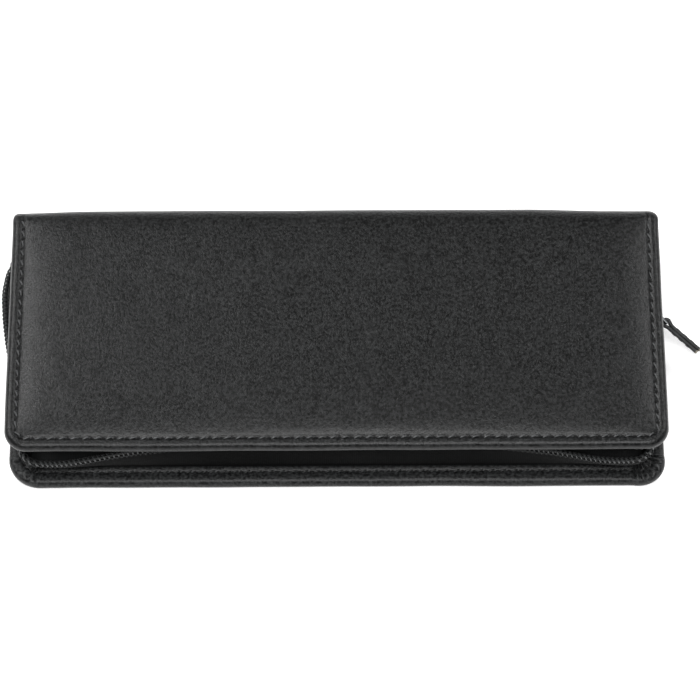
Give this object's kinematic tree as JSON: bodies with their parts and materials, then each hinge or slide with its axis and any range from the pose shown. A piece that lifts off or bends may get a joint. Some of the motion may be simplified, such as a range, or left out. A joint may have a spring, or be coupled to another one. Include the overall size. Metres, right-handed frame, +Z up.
{
  "type": "fountain pen case",
  "caption": "Flat zip-round leather case for fountain pens, with a padded lid folding at the spine, elastic pen loops, a leaf and a slip pocket.",
  "frame": {"origin": "on the face the case rests on, midway along its length, 37 mm behind its front edge", "axes": "+X to the right along the case, +Y from the front edge to the spine, +Z up out of the lid"},
  "size_m": [0.1879, 0.076, 0.0229],
  "materials": {
    "outer_leather": "fine-grained smooth black leather, semi-matt",
    "rim_leather": "thin turned-in black leather, semi-matt",
    "inner_leather": "soft black lining leather, matt",
    "lining": "black woven lining, matt",
    "board": "grey-brown stiffener board",
    "foam": "thin grey padding",
    "thread": "black bonded sewing thread, slight sheen",
    "zip_tape": "black woven zip tape",
    "zip_coil": "black nylon coil, satin",
    "elastic": "black woven elastic",
    "slider_metal": "black-nickel slider, satin",
    "strap_leather": "black strap leather with raw cut edges"
  },
  "bodies": {
    "bottom_cover": {"bottom_leather": "outer_leather", "bottom_pad": "foam", "bottom_board": "board", "bottom_rim": "rim_leather", "bottom_lining": "lining", "bottom_stitching": "thread", "loop_anchor": "inner_leather", "pen_loop_1": "elastic", "pen_loop_2": "elastic", "pen_loop_3": "elastic", "lower_zip_tape": "zip_tape", "lower_zip_coil": "zip_coil", "lower_top_stop": "zip_coil", "zip_bottom_stop": "zip_coil"},
    "spine": {"spine_leather": "outer_leather", "spine_lining": "lining"},
    "top_cover": {"top_leather": "outer_leather", "top_pad": "foam", "top_board": "board", "top_rim": "rim_leather", "top_lining": "lining", "top_stitching": "thread", "pocket_panel": "inner_leather", "upper_zip_tape": "zip_tape", "upper_zip_coil": "zip_coil", "upper_top_stop": "zip_coil"},
    "divider": {"divider_leaf": "inner_leather"},
    "slider": {"slider_body": "slider_metal", "slider_bail": "slider_metal"},
    "pull": {"pull_link": "slider_metal", "pull_strap": "strap_leather", "pull_stitching": "thread"}
  },
  "joints": [
    {"name": "spine_fold", "type": "hinge", "parent": "bottom_cover", "child": "spine", "pos_m": [0, 0.0379, 0.0015], "axis": [-1, 0, 0], "range_deg": [0, 90]},
    {"name": "lid_fold", "type": "hinge", "parent": "spine", "child": "top_cover", "pos_m": [0, 0.0379, 0.0215], "axis": [-1, 0, 0], "range_deg": [0, 90]},
    {"name": "divider_fold", "type": "hinge", "parent": "spine", "child": "divider", "pos_m": [0, 0.0369, 0.0158], "axis": [-1, 0, 0], "range_deg": [0, 63]},
    {"name": "slider_travel", "type": "slide", "parent": "bottom_cover", "child": "slider", "axis": [0, -1, 0], "range_m": [0, 0.031]},
    {"name": "pull_swing", "type": "hinge", "parent": "slider", "child": "pull", "pos_m": [0.08625, 0.011, 0.01075], "axis": [0, -0.5, 0.866], "range_deg": [-30, 116]}
  ],
  "couplings": [
    {"joint": "lid_fold", "follows": "spine_fold", "ratio": 1},
    {"joint": "divider_fold", "follows": "spine_fold", "ratio": 0.7}
  ]
}
